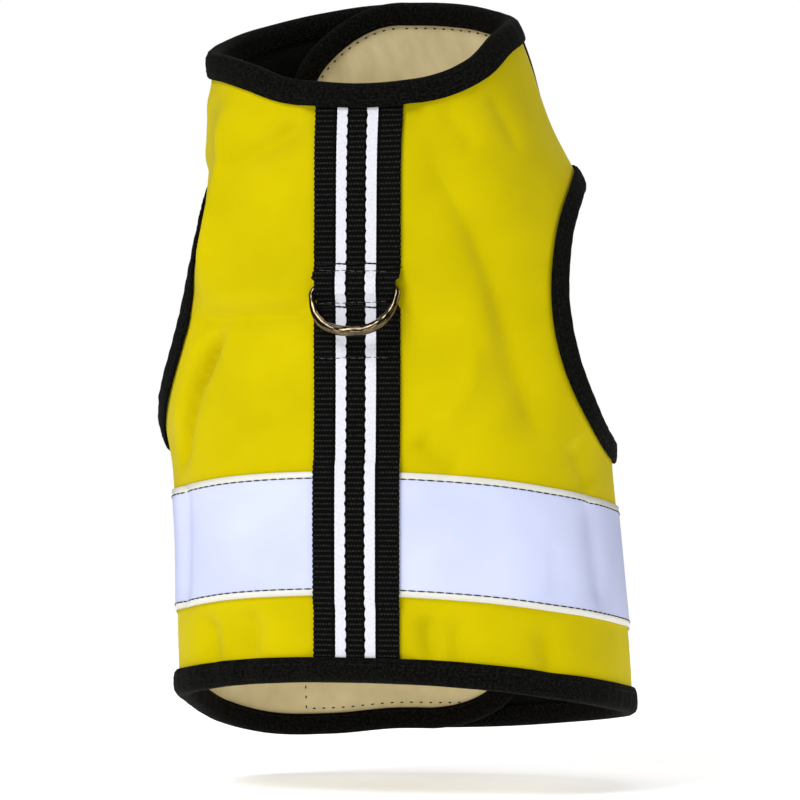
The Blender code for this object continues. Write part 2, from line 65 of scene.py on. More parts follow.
hemHeights = [  # angle, height
    (-180, -76.4), (-160, -76.6), (-140, -78.2), (-120, -77.5), (-105, -73.5), (-90, -68.0), (-75, -64.0),
    (-60, -62.0), (-40, -59.0), (-20, -57.6), (0, -57.4), (20, -57.9), (40, -59.6), (60, -62.8),
    (80, -66.1), (100, -68.6), (120, -71.2), (140, -73.6), (160, -75.5),
]
bulges = [  # angle, height, both reaches, amount
    (-75, 16, 28, 22, 1.6), (-78, 74, 24, 26, -1.4), (85, 90, 26, 12, 1.6),
]
armhole = {"angle": 104.0, "height": 48.8, "halfAngle": 37.9, "halfHeight": 36.7}
lapOver = {"shift": 3.0, "angleFrom": 100.0, "angleOver": 34.0, "heightFrom": 20.0, "heightOver": 66.0,
           "tip": 0.3, "tipFrom": 200.0, "tipOver": 24.0}
flareSize = {"left": 4.5, "right": 3.2, "reachAngle": 6.8, "reachHeight": 7.3,
             "far": 1.3, "near": 0.84, "most": 1.15}
cut = {"frontAngle": -214.0, "bellyEnd": 197.0, "wingStart": 167.0, "wingReach": 67.0,
       "frontHem": 36.0, "bellyHem": 13.0, "bellyTop": 15.0, "neckFront": 12.0}

# Creases pressed in along a line of angle and height: soft troughs below zero, ridges above.
creases = [
    # points, width, depth
    ([(-58, 112), (-51, 93), (-53, 73), (-55, 54)], 6.0, 2.0),
    ([(-58, 46), (-42, 48), (-31, 48), (-13, 49)], 2.8, -1.5),
    ([(-60, 54), (-36, 54), (-14, 54)], 6.0, 0.8),
    ([(-46, 45), (-51, 35), (-56, 26), (-59, 15), (-61, 3)], 1.9, -3.4),
    ([(-54, 44), (-59, 30), (-65, 13)], 4.0, 0.6),
    ([(-49, 92), (-35, 97), (-21, 104)], 4.0, -1.7),
    ([(-29, 22), (-28, 16)], 2.6, -0.6),
    ([(22, 98), (29, 84), (37, 70), (42, 55), (46, 38), (51, 24), (56, 8)], 6.0, -2.1),
    ([(20, 106), (25, 89), (32, 75), (37, 61), (40, 44), (41, 29)], 7.0, 1.1),
    ([(16, 106), (17, 91), (18, 71)], 4.0, 0.5),
    ([(35, 40), (34, 27), (29, 21), (24, 17)], 3.6, 1.0),
    ([(18, 13), (24, 8), (32, 4)], 3.8, -1.1),
    ([(30, 110), (34, 104), (42, 95)], 3.2, -0.6),
    ([(50, 113), (55, 104), (59, 95)], 3.4, -0.6),
    ([(-50, -38), (-46, -62)], 3.0, -1.6),
    ([(-40, -36), (-41, -52)], 2.6, -0.7),
    ([(-34, -36), (-36, -64)], 2.8, -1.7),
    ([(21, -37), (24, -60)], 2.4, -1.6),
    ([(30, -38), (30, -60)], 2.6, -1.0),
    ([(53, -40), (57, -64)], 3.0, -1.2),
    ([(-59, 2), (-61, -40)], 2.6, -1.1),
    ([(-34, -11), (-34, -33)], 2.6, -0.4),
    ([(57, -17), (57, -36)], 2.6, -0.5),
    ([(72, -3), (74, -38)], 3.4, -1.0),
    ([(66, 12), (73, -3)], 4.0, -0.8),
    ([(-116, 0), (-132, 12), (-150, 17)], 4.5, -1.2),     # from here on the sides that the picture hides
    ([(-122, -10), (-140, -2), (-156, 2)], 5.0, 0.9),
    ([(-150, 100), (-168, 88), (-190, 72)], 6.0, -1.1),
    ([(-168, 44), (-176, 28), (-182, 8)], 6.0, -1.0),
    ([(-118, 112), (-126, 100), (-134, 92)], 5.0, -0.9),
    ([(116, -4), (132, 2), (152, 5)], 4.5, -1.1),
    ([(126, -42), (128, -58)], 3.0, -0.7),
    ([(150, -44), (152, -60)], 2.6, -0.7),
    ([(-128, -44), (-126, -62)], 3.0, -0.7),
    ([(-112, -42), (-110, -58)], 2.6, -0.7),
    ([(-92, 1), (-99, -8), (-112, -14)], 4.0, -0.9),
    ([(108, 112), (114, 104), (121, 95)], 4.5, -0.8),
    ([(-76, 118), (-80, 104), (-78, 90)], 5.0, 0.8),
]
# The first scales all depths, the second rounds a crease's middle, and the third shapes its sides.
creaseShape = {"gain": 2.3, "core": 0.5, "fall": 1.35}


def smooth(t):
    t = np.clip(t, 0.0, 1.0)
    return t * t * (3.0 - 2.0 * t)


def throughRows(xs, ys, x):
    xs, ys = np.asarray(xs, float), np.asarray(ys, float)
    slope = np.gradient(ys, xs)
    x = np.clip(x, xs[0], xs[-1])
    i = np.clip(np.searchsorted(xs, x, side="right") - 1, 0, len(xs) - 2)
    h = xs[i + 1] - xs[i]
    t = (x - xs[i]) / h
    return ((2 * t**3 - 3 * t**2 + 1) * ys[i] + (t**3 - 2 * t**2 + t) * h * slope[i]
            + (3 * t**2 - 2 * t**3) * ys[i + 1] + (t**3 - t**2) * h * slope[i + 1])


def rowOf(angle, z):      # a row of spots on the cloth, or of any two numbers
    return np.stack(np.broadcast_arrays(angle, z), axis=1)


def unit(ways):
    return ways / np.linalg.norm(ways, axis=-1, keepdims=True)


def addUp(steps):
    return np.concatenate([[0.0], np.cumsum(steps)])


def wrapAngle(angle):
    return (np.asarray(angle, float) + 180.0) % 360.0 - 180.0


def edgeHeight(rows, angle):
    turns = [(a + 360.0 * k, v) for k in (-1, 0, 1) for a, v in rows]
    return throughRows([a for a, v in turns], [v for a, v in turns], wrapAngle(angle))


def flare(angle, z):     # the cloth stands off a little round the armholes
    amount = np.where(angle < 0, flareSize["left"] * smooth((85.0 - z) / 60.0),
                      flareSize["right"] * smooth((z + 2.0) / 40.0))
    across = (np.abs(angle) - armhole["angle"]) / (armhole["halfAngle"] + flareSize["reachAngle"])
    up = (z - armhole["height"]) / (armhole["halfHeight"] + flareSize["reachHeight"])
    t = (flareSize["far"] - np.hypot(across, up)) / (flareSize["far"] - flareSize["near"])
    return amount * smooth((150.0 - np.abs(angle)) / 60.0) * np.clip(t, 0.0, flareSize["most"]) ** 2


def bodyForm(angle, z):
    angle, z = np.broadcast_arrays(np.asarray(angle, float), np.asarray(z, float))
    heights = [row[0] for row in bodyRings]
    half, back, front, square, shiftX, shiftY, turn = (
        throughRows(heights, [row[k] for row in bodyRings], z) for k in range(1, 8))
    wrapped = wrapAngle(angle)
    theta = np.radians(angle + turn * np.cos(np.radians(wrapped / 2.0)) ** 2)
    s, c = np.sin(theta), np.cos(theta)
    depth = np.where(c >= 0, back, front)
    power = np.where(c >= 0, square, 2.0 + 0.6 * (square - 2.0))
    r = (np.abs(s / half) ** power + np.abs(c / depth) ** power) ** (-1.0 / power)
    for at, height, reachAngle, reachHeight, amount in bulges:
        r = r + amount * np.exp(-((wrapped - at) / reachAngle) ** 2 - ((z - height) / reachHeight) ** 2)
    side = smooth((np.abs(angle) - lapOver["angleFrom"]) / lapOver["angleOver"])
    side = side + lapOver["tip"] * smooth((angle - lapOver["tipFrom"]) / lapOver["tipOver"])
    level = 2.0 * smooth((z - lapOver["heightFrom"]) / lapOver["heightOver"]) - 1.0
    r = r + flare(wrapped, z) - np.sign(angle) * lapOver["shift"] * side * level
    return np.stack([shiftX + r * s, shiftY - r * c, z], axis=-1)


def surfaceFrame(angle, z, small=0.4):
    along = (bodyForm(angle + small, z) - bodyForm(angle - small, z)) / (2 * small)
    up = (bodyForm(angle, z + small) - bodyForm(angle, z - small)) / (2 * small)
    return along, up, unit(np.cross(along, up))


def creaseAt(angle, z):
    lift = 0.26 * np.sin(angle * 0.071 + z * 0.043 + 1.3) * np.sin(angle * 0.033 - z * 0.061)
    lift = lift + 0.12 * np.sin(angle * 0.17 + z * 0.02) * np.sin(z * 0.11 + angle * 0.05 + 0.7)
    across = angle * mmPerDegree
    for points, width, depth in creases:
        p = np.array(points, float) * np.array([mmPerDegree, 1.0])
        lengths = np.linalg.norm(np.diff(p, axis=0), axis=1)
        gone, best, fade = 0.0, np.full(np.shape(angle), 1e9), np.zeros(np.shape(angle))
        for a, b, long in zip(p, p[1:], lengths):
            way = (b - a) / long
            along = np.clip((across - a[0]) * way[0] + (z - a[1]) * way[1], 0.0, long)
            far = np.hypot(across - a[0] - along * way[0], z - a[1] - along * way[1])
            t = (gone + along) / lengths.sum()
            fade = np.where(far < best, smooth(4.8 * t * (1.0 - t) + 0.12), fade)     # weaker at its ends
            best = np.minimum(best, far)
            gone += long
        sides = np.exp(-(np.hypot(best, creaseShape["core"]) / width) ** creaseShape["fall"])
        lift = lift + creaseShape["gain"] * depth * fade * sides
    nearNeck = smooth((edgeHeight(neckHeights, angle) - 5.0 - z) / 12.0)     # sewn edges stay true
    nearHem = smooth((z - edgeHeight(hemHeights, angle) - 5.0) / 5.0)
    nearStrap = smooth((np.abs(wrapAngle(angle)) - 6.0) / 9.0)
    return lift * (0.25 + 0.75 * nearNeck * nearHem) * (0.35 + 0.65 * nearStrap)


def surfacePoint(angle, z, lift):
    angle, z, lift = np.broadcast_arrays(*(np.asarray(v, float) for v in (angle, z, lift)))
    normal = surfaceFrame(angle, z)[2]
    return bodyForm(angle, z) + normal * (lift + creaseAt(angle, z))[..., None]


def stepIn(spots, tangents, inset):
    along, up, normal = surfaceFrame(spots[:, 0], spots[:, 1])
    inward = unit(np.cross(normal, tangents))
    aa, bb, ab = (along * along).sum(1), (up * up).sum(1), (along * up).sum(1)
    ra, rb = (inward * along).sum(1), (inward * up).sum(1)
    det = aa * bb - ab * ab
    move = np.stack([(ra * bb - rb * ab) / det, (rb * aa - ra * ab) / det], axis=1)
    return spots + move * np.asarray(inset, float).reshape(-1, 1)


def runLengths(spots):
    p = bodyForm(spots[:, 0], spots[:, 1])
    return addUp(np.linalg.norm(np.diff(p, axis=0), axis=1))


def resample(spots, step=1.0):
    total = runLengths(spots)
    at = np.linspace(0.0, total[-1], max(2, int(round(total[-1] / step)) + 1))
    return rowOf(*(np.interp(at, total, spots[:, k]) for k in (0, 1)))


def joinRuns(runs, corners):
    runs = [resample(np.asarray(run, float)) for run in runs]
    out = []
    for k, run in enumerate(runs):
        before, after = int(round(corners[k - 1])), int(round(corners[k]))
        out.append(run[before:len(run) - after] if after else run[before:-1])
        if after:
            a, b, c = run[-1 - after], run[-1], runs[(k + 1) % len(runs)][after]
            t = np.linspace(0.0, 1.0, 2 * after)[1:-1, None]
            out.append((1 - t) ** 2 * a + 2 * t * (1 - t) * b + t * t * c)
    return np.concatenate(out)


def arcRun(centre, halfAngle, halfHeight, start, end):
    t = np.radians(np.linspace(start, end, 61))
    return rowOf(centre[0] + halfAngle * np.cos(t), centre[1] + halfHeight * np.sin(t))


def panelEdge():
    low, high = armhole["height"] - armhole["halfHeight"], armhole["height"] + armhole["halfHeight"]
    hemAngles = np.arange(cut["frontAngle"], cut["bellyEnd"] + 0.5, 1.0)
    hemRun = rowOf(hemAngles, edgeHeight(hemHeights, hemAngles))
    endRun = np.array([hemRun[-1], (cut["bellyEnd"], low)])
    topRun = np.array([endRun[-1], (armhole["angle"], low)])
    middle = (armhole["angle"], armhole["height"])
    notch = arcRun(middle, armhole["halfAngle"], armhole["halfHeight"], -90, -270)
    under = np.array([(armhole["angle"], high), (cut["wingStart"], high)])
    top = float(edgeHeight(neckHeights, cut["wingStart"]))
    wing = arcRun((cut["wingStart"], (high + top) / 2), cut["wingReach"], (top - high) / 2, -90, 90)
    neckAngles = np.arange(cut["wingStart"], cut["frontAngle"] - 0.5, -1.0)
    neckRun = rowOf(neckAngles, edgeHeight(neckHeights, neckAngles))
    heights = np.linspace(neckRun[-1, 1], hemRun[0, 1], 80)
    bow = np.clip(1.0 - ((heights - armhole["height"]) / armhole["halfHeight"]) ** 2, 0.0, 1.0) ** 2
    far = armhole["angle"] + armhole["halfAngle"] - 360.0
    frontRun = rowOf(cut["frontAngle"] + (far - cut["frontAngle"]) * bow, heights)
    return joinRuns([hemRun, endRun, topRun, notch, under, wing, neckRun, frontRun],
                    [cut["bellyHem"], cut["bellyTop"], 0, 0, 0, 0, cut["neckFront"], cut["frontHem"]])


def edgeWays(spots, closed):
    p = bodyForm(spots[:, 0], spots[:, 1])
    t = np.roll(p, -1, axis=0) - np.roll(p, 1, axis=0) if closed else np.gradient(p, axis=0)
    return unit(t)


def insideLoop(loop, x, y):
    hit = np.zeros(x.shape, bool)
    for (x1, y1), (x2, y2) in zip(loop, np.roll(loop, -1, axis=0)):
        if y1 != y2:
            hit ^= ((y1 > y) != (y2 > y)) & (x < x1 + (y - y1) * (x2 - x1) / (y2 - y1))
    return hit


def strapScale(z):      # mm of cloth for one degree, at the spine
    return np.linalg.norm(surfaceFrame(np.zeros_like(np.asarray(z, float)), np.asarray(z, float))[0], axis=-1)


outerEdge = panelEdge()
outerWays = edgeWays(outerEdge, True)
leftMiddle = (-armhole["angle"], armhole["height"])
leftEdge = resample(arcRun(leftMiddle, armhole["halfAngle"], armhole["halfHeight"], 0, -360))[:-1]
leftWays = edgeWays(leftEdge, True)
print("edges of the cut:", len(outerEdge), "and", len(leftEdge), "points")


# Materials

def hexColour(code):
    channels = [int(code[k:k + 2], 16) / 255.0 for k in (1, 3, 5)]
    return [c / 12.92 if c <= 0.04045 else ((c + 0.055) / 1.055) ** 2.4 for c in channels] + [1.0]


def outputOf(source):      # a link comes from a socket, or from a node's first output
    return source.outputs[0] if isinstance(source, bpy.types.Node) else source


def addNode(tree, kind, settings=None, links=None):      # a setting is a socket, a property or a ramp's stops
    node = tree.nodes.new("ShaderNode" + kind)
    for key, value in (settings or {}).items():
        if key == "stops":
            for stop, (position, code) in zip(node.color_ramp.elements, value):
                stop.position, stop.color = position, hexColour(code)
        elif isinstance(key, int) or key in node.inputs:
            node.inputs[key].default_value = value
        else:
            setattr(node, key, value)
    for key, source in (links or {}).items():
        tree.links.new(outputOf(source), node.inputs[key])
    return node


def newMaterial(name, settings, followsCloth=True):      # also gives the place on the piece in millimetres
    made = bpy.data.materials.new(name)
    made.use_nodes = True
    tree = made.node_tree
    for key, value in settings.items():
        tree.nodes["Principled BSDF"].inputs[key].default_value = value
    if followsCloth:
        source = addNode(tree, "UVMap", {"uv_map": "clothMap"})
    else:
        source = addNode(tree, "TexCoord").outputs["Object"]
    return made, tree, addNode(tree, "Mapping", {"Scale": (1000.0, 1000.0, 1000.0)}, {"Vector": source})


def driveShader(tree, sources):      # what feeds the shader's own sockets
    for key, source in sources.items():
        tree.links.new(outputOf(source), tree.nodes["Principled BSDF"].inputs[key])


def coatedOxford():
    # Coated oxford polyester, woven and dyed: flat bright yellow with a faint satin and a fine thread grain.
    made, tree, place = newMaterial("coatedOxfordPolyester", {
        "Roughness": 0.6, "IOR": 1.5, "Specular IOR Level": 0.02,
        "Sheen Weight": 0.05, "Sheen Roughness": 0.45})
    dye = addNode(tree, "TexNoise", {"Scale": 1 / 26.0, "Detail": 2.0}, {"Vector": place})
    shade = addNode(tree, "ValToRGB", {"stops": [(0.35, "#C9B800"), (0.68, "#D3C100")]}, {"Fac": dye})
    threads = 0.314 / 0.55      # real threads are 0.3 mm apart; drawn at 0.55 so that they show
    warp, weft = (addNode(tree, "TexWave", {"bands_direction": way, "Scale": threads, "Distortion": 0.6},
                          {"Vector": place}) for way in "XY")
    weave = addNode(tree, "Math", {"operation": "MULTIPLY"}, {0: warp.outputs["Fac"], 1: weft.outputs["Fac"]})
    slub = addNode(tree, "TexNoise", {"Scale": 1 / 0.9, "Detail": 2.0}, {"Vector": place})
    grain = addNode(tree, "Math", {"operation": "ADD"}, {0: weave, 1: slub})
    bump = addNode(tree, "Bump", {"Strength": 0.14, "Distance": 0.0001}, {"Height": grain})
    driveShader(tree, {"Base Color": shade, "Normal": bump})
    return made


def brushedJersey():
    # Brushed polyester jersey: dull cream with a short soft nap, its mottling partly painted shade of soft
    # folds.
    made, tree, place = newMaterial("brushedJersey", {
        "Roughness": 0.95, "Specular IOR Level": 0.1, "Sheen Weight": 0.2, "Sheen Roughness": 0.6})
    tuftAndFoldShade = addNode(tree, "TexNoise", {"Scale": 1 / 11.0, "Detail": 2.0}, {"Vector": place})
    # the cream mottles with this noise: partly the nap's own tone, partly painted shade of soft folds
    shade = addNode(tree, "ValToRGB", {"stops": [(0.32, "#D8C899"), (0.66, "#E8D9AB")]}, {"Fac": tuftAndFoldShade})
    nap = addNode(tree, "TexNoise", {"Scale": 1 / 0.6, "Detail": 3.0}, {"Vector": place})
    grain = addNode(tree, "Math", {"operation": "ADD"}, {0: nap, 1: tuftAndFoldShade})
    bump = addNode(tree, "Bump", {"Strength": 0.3, "Distance": 0.0002}, {"Height": grain})
    driveShader(tree, {"Base Color": shade, "Normal": bump})
    return made


def glassBeadTape():
    # Glass bead reflective tape on a woven back: cool pale silver, smooth, plain white outside its stitching.
    made, tree, place = newMaterial("glassBeadTape", {
        "Roughness": 0.42, "Specular IOR Level": 0.5, "Coat Weight": 0.12, "Coat Roughness": 0.35})
    split = addNode(tree, "SeparateXYZ", {}, {"Vector": place})
    off = addNode(tree, "Math", {"operation": "ABSOLUTE"}, {0: split.outputs["Y"]})
    seamAt = tapeSize["width"] / 2 - tapeSize["stitchIn"]
    margin = addNode(tree, "Math", {"operation": "GREATER_THAN", 1: seamAt}, {0: off})
    cloud = addNode(tree, "TexNoise", {"Scale": 1 / 30.0, "Detail": 2.0}, {"Vector": place})
    silver = addNode(tree, "ValToRGB", {"stops": [(0.35, "#CDD4F6"), (0.65, "#D6DDFF")]}, {"Fac": cloud})
    shade = addNode(tree, "Mix", {"data_type": "RGBA", 7: hexColour("#E6E5DB")}, {0: margin, 6: silver})
    beads = addNode(tree, "TexNoise", {"Scale": 1 / 0.5, "Detail": 1.0}, {"Vector": place})
    bump = addNode(tree, "Bump", {"Strength": 0.06, "Distance": 0.0001}, {"Height": beads})
    driveShader(tree, {"Base Color": shade.outputs[2], "Normal": bump})
    return made


def stripedWebbing():
    # Ribbed polyester webbing, woven and dyed black, with two stripes of bright reflective yarn woven in.
    made, tree, place = newMaterial("ribbedWebbing", {"Roughness": 0.8, "Specular IOR Level": 0.08})
    split = addNode(tree, "SeparateXYZ", {}, {"Vector": place})
    across, along = split.outputs["X"], split.outputs["Y"]
    middle, half = strapSize["stripeMiddle"], strapSize["stripeWidth"] / 2
    off = addNode(tree, "Math", {"operation": "ABSOLUTE"}, {0: across})
    archTurns = math.pi / strapSize["scallopPitch"]
    turns = addNode(tree, "Math", {"operation": "MULTIPLY", 1: archTurns}, {0: along})
    wave = addNode(tree, "Math", {"operation": "SINE"}, {0: turns})
    arch = addNode(tree, "Math", {"operation": "ABSOLUTE"}, {0: wave})
    depth = addNode(tree, "Math", {"operation": "MULTIPLY", 1: -strapSize["scallop"]}, {0: arch})
    inner = addNode(tree, "Math", {"operation": "ADD", 1: middle - half}, {0: depth})
    past = addNode(tree, "Math", {"operation": "GREATER_THAN"}, {0: off, 1: inner})
    short = addNode(tree, "Math", {"operation": "LESS_THAN", 1: middle + half}, {0: off})
    stripe = addNode(tree, "Math", {"operation": "MULTIPLY"}, {0: past, 1: short})
    yarn = addNode(tree, "TexNoise", {"Scale": 1 / 0.7, "Detail": 2.0}, {"Vector": place})
    rib = strapSize["ribPitch"]
    ribTurns = addNode(tree, "Math", {"operation": "MULTIPLY", 1: math.tau / rib}, {0: along})
    ribs = addNode(tree, "Math", {"operation": "COSINE"}, {0: ribTurns})
    rowAt = addNode(tree, "Math", {"operation": "DIVIDE", 1: rib}, {0: along})
    row = addNode(tree, "Math", {"operation": "ROUND"}, {0: rowAt})
    offset = addNode(tree, "Math", {"operation": "MULTIPLY", 1: math.pi}, {0: row})     # every other row
    tickTurns = addNode(tree, "Math", {"operation": "MULTIPLY_ADD", 1: math.tau / strapSize["yarnPitch"]},
                        {0: across, 2: offset})
    ticks = addNode(tree, "Math", {"operation": "COSINE"}, {0: tickTurns})
    both = addNode(tree, "Math", {"operation": "MULTIPLY_ADD", 1: 0.3}, {0: ticks, 2: ribs})
    crown = addNode(tree, "MapRange", {"From Min": 0.0, "From Max": 1.3}, {"Value": both})
    beside = addNode(tree, "Math", {"operation": "SUBTRACT", 1: middle}, {0: off})
    aside = addNode(tree, "Math", {"operation": "ABSOLUTE"}, {0: beside})
    clear = addNode(tree, "MapRange", {"From Min": half + 0.5, "From Max": half + 1.0}, {"Value": aside})
    # the crowns of the ribs and yarn ticks are painted lighter on the black: a painted highlight, kept off
    # the stripes' edges
    lit = addNode(tree, "Math", {"operation": "MULTIPLY"}, {0: crown, 1: yarn})
    paintedRibHighlight = addNode(tree, "Math", {"operation": "MULTIPLY"}, {0: lit, 1: clear})
    black = addNode(tree, "ValToRGB", {"stops": [(0.16, "#010101"), (0.62, "#31312C")]}, {"Fac": paintedRibHighlight})
    white = addNode(tree, "ValToRGB", {"stops": [(0.2, "#D4D6E0"), (0.55, "#E6E7EF")]}, {"Fac": yarn})
    shade = addNode(tree, "Mix", {"data_type": "RGBA"}, {0: stripe, 6: black, 7: white})
    yarns = 0.314 / 0.45      # one yarn in 0.45 mm
    twist = addNode(tree, "TexWave", {"bands_direction": "DIAGONAL", "Scale": yarns, "Distortion": 1.0},
                    {"Vector": place})
    bump = addNode(tree, "Bump", {"Strength": 0.35, "Distance": 0.00015}, {"Height": twist.outputs["Fac"]})
    driveShader(tree, {"Base Color": shade.outputs[2], "Normal": bump})
    return made


def brushedBinding():
    # Brushed polyester binding, folded over the edge: soft black that swallows light, with a little fuzz.
    made, tree, place = newMaterial("brushedBinding", {
        "Roughness": 0.97, "Specular IOR Level": 0.05, "Sheen Weight": 0.008, "Sheen Roughness": 0.7})
    nap = addNode(tree, "TexNoise", {"Scale": 1 / 0.8, "Detail": 4.0, "Roughness": 0.65}, {"Vector": place})
    shade = addNode(tree, "ValToRGB", {"stops": [(0.42, "#010101"), (0.66, "#171713")]}, {"Fac": nap})
    rolls = addNode(tree, "TexNoise", {"Scale": 1 / 4.0, "Detail": 2.0}, {"Vector": place})
    fuzz = addNode(tree, "Math", {"operation": "ADD"}, {0: nap, 1: rolls})
    bump = addNode(tree, "Bump", {"Strength": 0.5, "Distance": 0.0003}, {"Height": fuzz})
    driveShader(tree, {"Base Color": shade, "Normal": bump})
    return made


def hookAndLoopPile(name, dark, light, cell):
    # Nylon hook and loop tape: black stiff pile in close rows, the loop side softer than the hooks.
    made, tree, place = newMaterial(name, {
        "Roughness": 0.9, "Specular IOR Level": 0.1, "Sheen Weight": 0.01, "Sheen Roughness": 0.6})
    nap = addNode(tree, "TexNoise", {"Scale": 1 / 0.7, "Detail": 3.0}, {"Vector": place})
    shade = addNode(tree, "ValToRGB", {"stops": [(0.4, dark), (0.7, light)]}, {"Fac": nap})
    pile = addNode(tree, "TexVoronoi", {"Scale": 1 / cell}, {"Vector": place})
    bump = addNode(tree, "Bump", {"Strength": 0.6, "Distance": 0.0003}, {"Height": pile})
    driveShader(tree, {"Base Color": shade, "Normal": bump})
    return made


def darkBrassPlating():
    # Steel wire, bent, welded and plated dark brass: polished, with faint rubs.
    made, tree, place = newMaterial("darkBrassPlating", {"Metallic": 1.0}, False)
    rub = addNode(tree, "TexNoise", {"Scale": 1 / 3.0, "Detail": 3.0}, {"Vector": place})
    shade = addNode(tree, "ValToRGB", {"stops": [(0.35, "#4A4034"), (0.7, "#75684F")]}, {"Fac": rub})
    rough = addNode(tree, "MapRange", {"To Min": 0.12, "To Max": 0.24}, {"Value": rub})
    waves = addNode(tree, "TexNoise", {"Scale": 1 / 5.0, "Detail": 1.0}, {"Vector": place})
    bump = addNode(tree, "Bump", {"Strength": 0.8, "Distance": 0.0012}, {"Height": waves})
    driveShader(tree, {"Base Color": shade, "Roughness": rough, "Normal": bump})
    return made


def bondedThread(name, dark, light):
    # Bonded polyester thread, twisted: a dull shine along each stitch.
    made, tree, place = newMaterial(name, {"Roughness": 0.7, "Specular IOR Level": 0.12}, False)
    twist = addNode(tree, "TexNoise", {"Scale": 1 / 0.4, "Detail": 1.0}, {"Vector": place})
    shade = addNode(tree, "ValToRGB", {"stops": [(0.35, dark), (0.65, light)]}, {"Fac": twist})
    driveShader(tree, {"Base Color": shade})
    return made


# Shared steps of making a piece

def addObject(name, data):
    made = bpy.data.objects.new(name, data)
    bpy.context.scene.collection.objects.link(made)
    return made


def finishPiece(name, bm, material, body="vest", replaces=()):
    bmesh.ops.recalc_face_normals(bm, faces=bm.faces[:])
    mesh = bpy.data.meshes.new(name)
    bm.to_mesh(mesh)
    bm.free()
    mesh.polygons.foreach_set("use_smooth", [True] * len(mesh.polygons))
    mesh.materials.append(material)
    piece = addObject(name, mesh)
    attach(piece, body)
    if replaces:
        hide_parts(*replaces)
    print(name, len(mesh.polygons), "faces")
    return piece


def flatGrid(columns, rows):      # a grid of cells, and the column and row of each of its points
    bm = bmesh.new()
    bmesh.ops.create_grid(bm, x_segments=columns, y_segments=rows, size=1.0)
    spots = np.array([v.co[:2] for v in bm.verts])
    at = np.rint((spots + 1.0) / 2.0 * np.array([columns, rows])).astype(int)
    return bm, at[:, 0], at[:, 1]


def placePoints(points, places):
    for point, place in zip(points, places):
        point.co = Vector(place) * mm


def mapCloth(bm, across, along):      # the piece's map, from two numbers kept on its points
    layer = bm.loops.layers.uv.new("clothMap")
    for face in bm.faces:
        for corner in face.loops:
            corner[layer].uv = (corner.vert[across] * mm, corner.vert[along] * mm)


def keepNumbers(bm, named):      # numbers that stay with the points through an extrude
    layers = [bm.verts.layers.float.new(name) for name in named]
    for layer, column in zip(layers, named.values()):
        for point, value in zip(bm.verts, column):
            point[layer] = float(value)
    return layers


def innerLine(loop, ways, inset):
    picks = np.arange(0, len(loop), 2)
    return stepIn(loop[picks], ways[picks], inset)


def pullToLine(spots, line, reach):      # spots near a closed line move onto it
    scale = np.array([mmPerDegree, 1.0])
    best, moved = np.full(len(spots), reach), spots.copy()
    for a, b in zip(line, np.roll(line, -1, axis=0)):
        way = (b - a) * scale
        share = np.clip(((spots - a) * scale) @ way / max(float(way @ way), 1e-9), 0.0, 1.0)
        at = a + share[:, None] * (b - a)
        far = np.linalg.norm((spots - at) * scale, axis=1)
        moved[far < best] = at[far < best]
        best = np.minimum(best, far)
    return moved


edgeRows = {"hem": hemHeights, "neck": neckHeights}
clothInset, tuckedThin = 2.4, 0.15      # sheets end inside the folded binding; a tucked edge is thinner
clothEdge, clothHole = innerLine(outerEdge, outerWays, clothInset), innerLine(leftEdge, leftWays, clothInset)


def clothSheet(name, size, material, replaces):
    columns = int(round((size["angleTo"] - size["angleFrom"]) / size["step"]))
    angles = np.linspace(size["angleFrom"], size["angleTo"], columns + 1)
    low, high = (edgeHeight(edgeRows[size[k][0]], angles) + size[k][1] for k in ("low", "high"))
    rows = int(round(float(np.mean(high - low)) / size["step"]))
    bm, i, j = flatGrid(columns, rows)
    share = j / rows
    angle = angles[i] + size.get("slant", 0.0) * (1.0 - share) * (1.0 - i / columns)
    z = low[i] + (high - low)[i] * share
    width = float(np.mean(high - low))
    cells = {"high": rows - j, "low": j}.get(size.get("tucked"), np.full(len(j), rows))
    la, lz, lu, lv, lt = keepNumbers(bm, {
        "angle": angle, "height": z, "across": angle * mmPerDegree,
        "along": (share - 0.5) * width, "thin": cells < 1.5})
    if size["cutToPanel"]:
        middles = np.array([[np.mean([p[k] for p in f.verts]) for k in (la, lz)] for f in bm.faces])
        kept = insideLoop(clothEdge, *middles.T) & ~insideLoop(clothHole, *middles.T)
        bmesh.ops.delete(bm, geom=[f for f, good in zip(bm.faces[:], kept) if not good], context="FACES")
        rim = [p for p in bm.verts if p.is_boundary]
        spots = np.array([[p[la], p[lz]] for p in rim])
        for line in (clothEdge, clothHole):
            spots = pullToLine(spots, line, size["step"] * 1.1)
        for p, (a, h) in zip(rim, spots):
            p[la], p[lz] = a, h
    made = bmesh.ops.extrude_face_region(bm, geom=bm.faces[:])["geom"]
    under = {p for p in made if isinstance(p, bmesh.types.BMVert)}
    back, front = size["lifts"]
    lifts = [front if p not in under else front - tuckedThin if p[lt] > 0.5 else back for p in bm.verts]
    placePoints(bm.verts, surfacePoint([p[la] for p in bm.verts], [p[lz] for p in bm.verts], lifts))
    mapCloth(bm, lu, lv)
    return finishPiece(name, bm, material, replaces=replaces)


def addStitch(bm, place, along, normal, size):      # one short thread, rounded at its ends
    along, normal = Vector(along).normalized(), Vector(normal).normalized()
    side = normal.cross(along).normalized()
    turn = Matrix((side, along, normal)).transposed().to_4x4()
    shape = Matrix.Diagonal((size["wide"] / 2 * mm, size["long"] / 2 * mm, size["high"] / 2 * mm, 1.0))
    lie = Matrix.Translation(Vector(place) * mm) @ turn @ shape @ Matrix.Rotation(math.pi / 2, 4, "X")
    bmesh.ops.create_uvsphere(bm, u_segments=6, v_segments=4, radius=1.0, matrix=lie)


